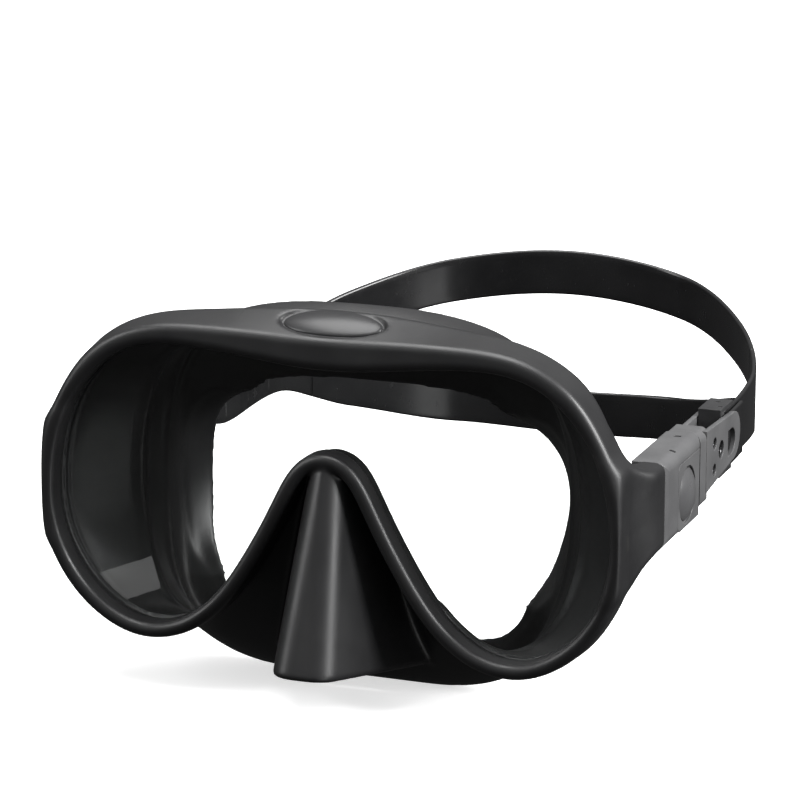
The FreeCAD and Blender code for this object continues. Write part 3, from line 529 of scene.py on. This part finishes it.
def build_strap():
    s, a, x, y, zu, zl = strap_rows()
    top = zu + H_BRANCH / 2
    bot = zl - H_BRANCH / 2
    mid = (zu + zl) / 2
    w = smooth01((a - 0.5) / 0.22)
    top = top * (1 - w) + (mid + H_BAND / 2) * w
    bot = bot * (1 - w) + (mid - H_BAND / 2) * w
    gap = np.maximum((zu - zl - H_BRANCH) / 2, 0) + 1.3 * np.exp(-np.maximum(SPLIT - a, 0) / 0.09)
    gap = gap * np.sqrt(np.clip((SPLIT - a) / 0.018, 0, 1))
    parts = []
    inner = a <= SPLIT - 0.0005
    parts.append(band_mesh(x[inner], y[inner], (mid + gap)[inner], top[inner], THICK))
    parts.append(band_mesh(x[inner], y[inner], bot[inner], (mid - gap)[inner], THICK))
    for side in (-1, 1):
        pick = (s * side >= SPLIT - 0.012)
        order = np.argsort(a[pick])
        px, py = x[pick][order], y[pick][order]
        pz0, pz1 = bot[pick][order], top[pick][order]
        # more rows where the ribs are, then round the roller and back along the outside
        run = np.concatenate([[0], np.cumsum(np.hypot(np.diff(px), np.diff(py)))])
        fine = np.arange(0, run[-1], 0.3)
        fx, fy = np.interp(fine, run, px), np.interp(fine, run, py)
        f0, f1 = np.interp(fine, run, pz0), np.interp(fine, run, pz1)
        dist = run[-1] - fine
        ang = np.linspace(180, 360, 15)
        cx = side * (RX + MID * np.cos(np.radians(ang)))
        cy = RY + MID * np.sin(np.radians(ang))
        t = np.linspace(0, 1, 90)[1:]
        ty = RY + t * 37.0
        base = np.interp(ty, py[::-1], np.abs(px[::-1]))
        tx = side * np.maximum(base + THICK + 0.12 + 0.5 * (1 - t), RX + MID - 26 * t)
        mz = np.interp(ty, py[::-1], ((pz0 + pz1) / 2)[::-1])
        ex = np.concatenate([fx, cx, tx])
        ey = np.concatenate([fy, cy, ty])
        shrink = 0.35
        e0 = np.concatenate([f0, np.full(len(cx), RZ - H_BAND / 2), mz - H_BAND / 2 + shrink])
        e1 = np.concatenate([f1, np.full(len(cx), RZ + H_BAND / 2), mz + H_BAND / 2 - shrink])
        rib = np.zeros(len(ex))
        phase = np.abs(((dist - 6.0) / 4.9) % 1.0 - 0.5)
        rib[:len(fx)] = 0.55 * smooth01((0.42 - phase) / 0.07) * ((dist > 6.0) & (dist < 55.0))
        parts.append(band_mesh(ex, ey, e0, e1, THICK, ribs=rib, across=17) if side > 0
                     else flip_band(ex, ey, e0, e1, rib))
    return join_meshes(parts)


def flip_band(ex, ey, e0, e1, rib):
    """The other side's band: the mirrored copy of the right-hand builder."""
    v, f = band_mesh(-ex, ey, e0, e1, THICK, ribs=rib, across=17)
    v = v * np.array([-1, 1, 1])
    return v, [face[::-1] for face in f]


v, f = build_strap()
strap = mesh_object("strap_silicone_band", v, f)
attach(strap, "strap_assembly")
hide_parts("strap")
print("strap", len(v), round(time.time() - T0, 1), "s")


# --------------------------------------------------------------------------
# brow badge: a blank oval dome in a ring groove
# --------------------------------------------------------------------------
def build_badge():
    ca, sa = math.cos(BADGE_TILT), math.sin(BADGE_TILT)
    rows = []
    prof = [(0.0, 1.25), (0.12, 1.24), (0.25, 1.19), (0.4, 1.09), (0.55, 0.94), (0.7, 0.74), (0.82, 0.52),
            (0.9, 0.33), (0.95, 0.17), (0.98, 0.0), (1.0, -0.25), (1.0, -1.2)]
    n = 96
    verts = [(0.0, 0.0, prof[0][1])]
    for rad, h in prof[1:]:
        for k in range(n):
            a = 2 * math.pi * k / n
            verts.append((BADGE_A * rad * math.cos(a), BADGE_B * rad * math.sin(a), h))
    faces = [(0, 1 + k, 1 + (k + 1) % n) for k in range(n)]
    for i in range(len(prof) - 2):
        for k in range(n):
            p, q = 1 + i * n + k, 1 + i * n + (k + 1) % n
            faces.append((p, p + n, q + n, q))
    faces.append(tuple(1 + (len(prof) - 2) * n + k for k in range(n))[::-1])
    out = []
    for x, w, h in verts:
        h = 0.85 * h - 0.0035 * x * x - 0.004 * w * w - 0.1
        out.append((x, BADGE_Y + w * sa - h * ca, BADGE_Z + w * ca + h * sa))
    return np.array(out), faces


v, f = build_badge()
badge = mesh_object("brow_badge_oval", v, f)
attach(badge, "mask")
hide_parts("brow_badge")


# --------------------------------------------------------------------------
# materials
# --------------------------------------------------------------------------
class Graph:
    def __init__(self, name):
        self.mat = bpy.data.materials.new(name)
        self.mat.use_nodes = True
        self.t = self.mat.node_tree
        self.t.nodes.clear()
        self.out = self.node("ShaderNodeOutputMaterial")
        self.coord = self.node("ShaderNodeNewGeometry").outputs["Position"]

    def node(self, kind, **props):
        n = self.t.nodes.new(kind)
        for k, val in props.items():
            setattr(n, k, val)
        return n

    def link(self, a, b):
        self.t.links.new(a, b)

    def noise(self, scale, detail=4.0, rough=0.55, stretch=None):
        vec = self.coord
        if stretch:
            m = self.node("ShaderNodeMapping")
            m.inputs["Scale"].default_value = stretch
            self.link(vec, m.inputs["Vector"])
            vec = m.outputs["Vector"]
        n = self.node("ShaderNodeTexNoise")
        n.inputs["Scale"].default_value = scale
        n.inputs["Detail"].default_value = detail
        n.inputs["Roughness"].default_value = rough
        self.link(vec, n.inputs["Vector"])
        return n.outputs["Fac"]

    def remap(self, value, lo, hi, a=0.0, b=1.0):
        n = self.node("ShaderNodeMapRange")
        for k, val in zip(("From Min", "From Max", "To Min", "To Max"), (lo, hi, a, b)):
            n.inputs[k].default_value = val
        self.link(value, n.inputs["Value"])
        return n.outputs["Result"]

    def mix(self, fac, a, b):
        n = self.node("ShaderNodeMix", data_type="RGBA")
        for sock, val in ((n.inputs["A"], a), (n.inputs["B"], b)):
            if isinstance(val, tuple):
                sock.default_value = (*val, 1)
            else:
                self.link(val, sock)
        if isinstance(fac, float):
            n.inputs["Factor"].default_value = fac
        else:
            self.link(fac, n.inputs["Factor"])
        return n.outputs["Result"]

    def math(self, op, a, b):
        n = self.node("ShaderNodeMath", operation=op)
        for sock, val in zip(n.inputs, (a, b)):
            if isinstance(val, (int, float)):
                sock.default_value = val
            else:
                self.link(val, sock)
        return n.outputs[0]

    def edge_wear(self, radius=0.0006):
        """1 on sharp convex edges, 0 on flats, broken up by noise."""
        bev = self.node("ShaderNodeBevel", samples=6)
        bev.inputs["Radius"].default_value = radius
        geo = self.node("ShaderNodeNewGeometry")
        dot = self.node("ShaderNodeVectorMath", operation="DOT_PRODUCT")
        self.link(bev.outputs["Normal"], dot.inputs[0])
        self.link(geo.outputs["Normal"], dot.inputs[1])
        edge = self.remap(dot.outputs["Value"], 0.995, 0.86)
        return self.math("MULTIPLY", edge, self.remap(self.noise(420, 3), 0.42, 0.66))


def surface(name, dark, light, rough, patch, grain, grain_depth, metallic=0.0, specular=0.5, wear=None,
            wear_color=None, soft_edges=0.0, sheen=0.0, coat=0.0, scuff=0.0):
    g = Graph(name)
    b = g.node("ShaderNodeBsdfPrincipled")
    g.link(b.outputs[0], g.out.inputs["Surface"])
    blotch = g.noise(patch, 5)
    color = g.mix(g.remap(blotch, 0.35, 0.65), dark, light)
    if wear and wear_color:
        w = g.edge_wear(wear)
        color = g.mix(g.math("MULTIPLY", w, 0.55), color, wear_color)
    g.link(color, b.inputs["Base Color"])
    r = g.remap(g.noise(patch * 2.3, 6), 0.3, 0.7, rough[0], rough[1])
    if scuff:
        streak = g.noise(900, 2, 0.5, stretch=(1.0, 0.12, 0.35))
        r = g.math("ADD", r, g.remap(streak, 0.62, 0.78, 0.0, scuff))
    g.link(r, b.inputs["Roughness"])
    b.inputs["Metallic"].default_value = metallic
    b.inputs["Specular IOR Level"].default_value = specular
    if sheen:
        b.inputs["Sheen Weight"].default_value = sheen
        b.inputs["Sheen Roughness"].default_value = 0.4
    if coat:
        b.inputs["Coat Weight"].default_value = coat
        b.inputs["Coat Roughness"].default_value = 0.12
    bump = g.node("ShaderNodeBump")
    bump.inputs["Strength"].default_value = 1.0
    bump.inputs["Distance"].default_value = grain_depth
    g.link(g.noise(grain, 3, 0.6), bump.inputs["Height"])
    if soft_edges:
        bev = g.node("ShaderNodeBevel", samples=8)
        bev.inputs["Radius"].default_value = soft_edges
        g.link(bev.outputs["Normal"], bump.inputs["Normal"])
    g.link(bump.outputs["Normal"], b.inputs["Normal"])
    return g.mat


M = {
    "silicone": surface("silicone_satin", (0.0105, 0.0105, 0.0112), (0.0165, 0.0165, 0.0172), (0.36, 0.47), 34, 2600,
                        0.000006, specular=0.55, scuff=0.06),
    "strap_silicone": surface("strap_silicone_gloss", (0.0085, 0.0085, 0.009), (0.013, 0.013, 0.0135), (0.17, 0.27), 40,
                              2200, 0.000004, specular=0.5, scuff=0.08),
    "badge_plastic": surface("badge_satin", (0.016, 0.016, 0.017), (0.022, 0.022, 0.023), (0.30, 0.38), 60, 3000,
                             0.000003, specular=0.5),
    "buckle_plastic": surface("buckle_plastic", (0.082, 0.082, 0.084), (0.105, 0.105, 0.107), (0.36, 0.46), 70, 3400,
                              0.000012, specular=0.5, wear=0.0005, wear_color=(0.2, 0.2, 0.2), soft_edges=0.0004),
    "button_plastic": surface("button_plastic", (0.07, 0.07, 0.072), (0.085, 0.085, 0.087), (0.27, 0.34), 70, 3000,
                              0.000005, specular=0.5, wear=0.0005, wear_color=(0.1, 0.1, 0.1), soft_edges=0.0003),
    "insert_plastic": surface("insert_plastic", (0.012, 0.012, 0.012), (0.018, 0.018, 0.018), (0.4, 0.5), 60, 2600,
                              0.000008),
    "inner_plastic": surface("acetal_black", (0.022, 0.022, 0.023), (0.032, 0.032, 0.033), (0.38, 0.48), 90, 3000,
                             0.000008, wear=0.0004, wear_color=(0.08, 0.08, 0.08), soft_edges=0.0003),
    "spring_steel": surface("spring_steel", (0.42, 0.42, 0.43), (0.55, 0.55, 0.56), (0.22, 0.32), 300, 4000, 0.000003,
                            metallic=1.0),
    "pin_steel": surface("pin_steel", (0.10, 0.10, 0.105), (0.16, 0.16, 0.165), (0.2, 0.3), 220, 3600, 0.000004,
                         metallic=1.0, soft_edges=0.0003),
}


def glass_material():
    g = Graph("lens_glass_clear")
    clear = g.node("ShaderNodeBsdfTransparent")
    gloss = g.node("ShaderNodeBsdfGlossy")
    gloss.inputs["Color"].default_value = (1, 1, 1, 1)
    smear = g.remap(g.noise(26, 5), 0.45, 0.75, 0.0, 0.05)
    g.link(smear, gloss.inputs["Roughness"])
    tint = g.mix(g.remap(g.noise(14, 3), 0.4, 0.7), (0.985, 0.99, 0.988), (0.965, 0.975, 0.972))
    g.link(tint, clear.inputs["Color"])
    bump = g.node("ShaderNodeBump")
    bump.inputs["Distance"].default_value = 0.0000012
    g.link(g.noise(60, 2), bump.inputs["Height"])
    g.link(bump.outputs["Normal"], gloss.inputs["Normal"])
    fres = g.node("ShaderNodeFresnel")
    fres.inputs["IOR"].default_value = 1.5
    geo = g.node("ShaderNodeNewGeometry")
    front = g.math("SUBTRACT", 1.0, geo.outputs["Backfacing"])
    fac = g.math("MULTIPLY", fres.outputs[0], front)
    mix = g.node("ShaderNodeMixShader")
    g.link(fac, mix.inputs[0])
    g.link(clear.outputs[0], mix.inputs[1])
    g.link(gloss.outputs[0], mix.inputs[2])
    g.link(mix.outputs[0], g.out.inputs["Surface"])
    return g.mat


M["lens_glass"] = glass_material()
slot_of = {row["node"]: row["material_slot"] for row in frame["record"]["subparts"]}
hidden = {"skirt", "strap", "brow_badge"}
for n, o in nodes.items():
    if n in hidden:
        continue
    mat = M[slot_of.get(n, "buckle_plastic")]
    if not o.data.materials:
        o.data.materials.append(mat)
    for i in range(len(o.data.materials)):
        o.data.materials[i] = mat
skirt.data.materials.append(M["silicone"])
strap.data.materials.append(M["strap_silicone"])
badge.data.materials.append(M["badge_plastic"])


# --------------------------------------------------------------------------
# studio
# --------------------------------------------------------------------------
scene = bpy.context.scene
PSI, TH, DIST, SCALE, OX, OY = math.radians(20.44), math.radians(14.59), 960.0, 3.9, 330.1, 497.0
r = Vector((math.cos(PSI), math.sin(PSI), 0))
b = Vector((math.sin(PSI) * math.cos(TH), -math.cos(PSI) * math.cos(TH), math.sin(TH)))
u = b.cross(r)
x0, y0 = (OX - 400) / SCALE, -(OY - 400) / SCALE
loc = (-x0 * r - y0 * u + DIST * b - Vector((0, 0, RISE))) * MM
cam_data = bpy.data.cameras.new("camera")
cam_data.sensor_width = 36.0
cam_data.lens = SCALE * DIST / 800.0 * 36.0
cam_data.clip_start = 0.01
cam = bpy.data.objects.new("camera", cam_data)
cam.matrix_world = Matrix(((r.x, u.x, b.x, loc.x), (r.y, u.y, b.y, loc.y), (r.z, u.z, b.z, loc.z), (0, 0, 0, 1)))
scene.collection.objects.link(cam)
scene.camera = cam
scene.view_settings.view_transform = "Standard"

world = scene.world or bpy.data.worlds.new("studio")
scene.world = world
world.use_nodes = True
wt = world.node_tree
wt.nodes.clear()
wout = wt.nodes.new("ShaderNodeOutputWorld")
path = wt.nodes.new("ShaderNodeLightPath")
seen = wt.nodes.new("ShaderNodeBackground")
seen.inputs[0].default_value = (1, 1, 1, 1)
seen.inputs[1].default_value = 0.98
fill = wt.nodes.new("ShaderNodeBackground")
tc = wt.nodes.new("ShaderNodeTexCoord")
sep = wt.nodes.new("ShaderNodeSeparateXYZ")
ramp = wt.nodes.new("ShaderNodeValToRGB")
wt.links.new(tc.outputs["Generated"], sep.inputs[0])
wt.links.new(sep.outputs["Z"], ramp.inputs[0])
ramp.color_ramp.elements[0].position = 0.0
ramp.color_ramp.elements[0].color = (0.05, 0.05, 0.05, 1)
ramp.color_ramp.elements[1].position = 0.9
ramp.color_ramp.elements[1].color = (0.55, 0.55, 0.55, 1)
wt.links.new(ramp.outputs[0], fill.inputs[0])
fill.inputs[1].default_value = 1.0
wmix = wt.nodes.new("ShaderNodeMixShader")
cam_or_clear = wt.nodes.new("ShaderNodeMath")
cam_or_clear.operation = "MAXIMUM"
wt.links.new(path.outputs["Is Camera Ray"], cam_or_clear.inputs[0])
cam_or_clear.inputs[1].default_value = 0.0
wt.links.new(cam_or_clear.outputs[0], wmix.inputs[0])
wt.links.new(fill.outputs[0], wmix.inputs[1])
wt.links.new(seen.outputs[0], wmix.inputs[2])
wt.links.new(wmix.outputs[0], wout.inputs[0])


def stage_mesh(name, verts, faces, mat):
    me = bpy.data.meshes.new(name)
    me.from_pydata(verts, [], faces)
    ob = bpy.data.objects.new(name, me)
    scene.collection.objects.link(ob)
    ob.data.materials.append(mat)
    ob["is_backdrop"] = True
    return ob


def emission(name, strength, color=(1, 1, 1)):
    g = Graph(name)
    e = g.node("ShaderNodeEmission")
    e.inputs[0].default_value = (*color, 1)
    e.inputs[1].default_value = strength
    g.link(e.outputs[0], g.out.inputs["Surface"])
    return g.mat


def floor_material():
    g = Graph("floor_white")
    bs = g.node("ShaderNodeBsdfDiffuse")
    bs.inputs[0].default_value = (0.9, 0.9, 0.9, 1)
    lift = g.node("ShaderNodeEmission")
    lift.inputs[1].default_value = 0.62
    add = g.node("ShaderNodeAddShader")
    g.link(bs.outputs[0], add.inputs[0])
    g.link(lift.outputs[0], add.inputs[1])
    g.link(add.outputs[0], g.out.inputs["Surface"])
    return g.mat


low_z = min(p[2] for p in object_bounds()) - 0.0004
S = 6.0
floor = stage_mesh("floor", [(-S, -S, low_z), (S, -S, low_z), (S, S, low_z), (-S, S, low_z)], [(0, 1, 2, 3)],
                   floor_material())
floor.visible_glossy = False
floor.visible_diffuse = False


def card(name, centre, target, size, strength):
    """A glowing panel that only reflections can see."""
    c, t = Vector(centre), Vector(target)
    z = (t - c).normalized()
    x = z.orthogonal() if abs(z.z) > 0.99 else Vector((0, 0, 1)).cross(z).normalized()
    y = z.cross(x)
    w, h = size[0] / 2, size[1] / 2
    vs = [c - x * w - y * h, c + x * w - y * h, c + x * w + y * h, c - x * w + y * h]
    ob = stage_mesh(name, [tuple(p) for p in vs], [(0, 1, 2, 3)], emission(name, strength))
    ob.visible_camera = ob.visible_diffuse = ob.visible_shadow = ob.visible_transmission = False
    return ob


def area(name, place, target, size, power, glossy=True):
    li = bpy.data.lights.new(name, "AREA")
    li.shape = "RECTANGLE"
    li.size, li.size_y = size
    li.energy = power
    o = bpy.data.objects.new(name, li)
    o.location = place
    o.rotation_euler = (Vector(target) - Vector(place)).to_track_quat("-Z", "Y").to_euler()
    scene.collection.objects.link(o)
    o.visible_camera = False
    o.visible_glossy = glossy
    return o


def on_image(px, py, depth_y):
    """Row-frame point (mm) seen at an image position, at the given y."""
    d = r * ((px - 400) / 3744.0) - u * ((py - 400) / 3744.0) - b
    start = loc / MM
    return start + d * ((depth_y - start.y) / d.y)


def mirror_card(name, corners, reach, strength):
    """A panel seen by reflection in the flat front glass between four image positions."""
    place = []
    for px, py in corners:
        hit = on_image(px, py, 0.0)
        d = (hit - loc / MM).normalized()
        place.append(tuple((hit + Vector((d.x, -d.y, d.z)) * reach) * MM))
    ob = stage_mesh(name, place, [(0, 1, 2, 3)], emission(name, strength))
    ob.visible_camera = ob.visible_diffuse = ob.visible_shadow = ob.visible_transmission = False
    return ob


area("soft_top", (-0.15, 0.0, 1.1), (0, 0.05, 0), (0.9, 0.8), 15)
area("soft_left", (-1.0, -0.6, 0.5), (0, 0, 0), (0.4, 0.8), 6.0)
area("soft_right", (1.0, -0.02, 0.5), (0.07, 0.03, 0), (0.5, 0.7), 24.0)
card("strap_card", (0.73, -0.395, -0.25), (-0.048, 0.185, 0.0), (0.42, 0.5), 1.5)
mirror_card("lens_card", ((92, 575), (152, 556), (161, 588), (118, 602)), 300.0, 1.7)

print("scene built", round(time.time() - T0, 1), "s")
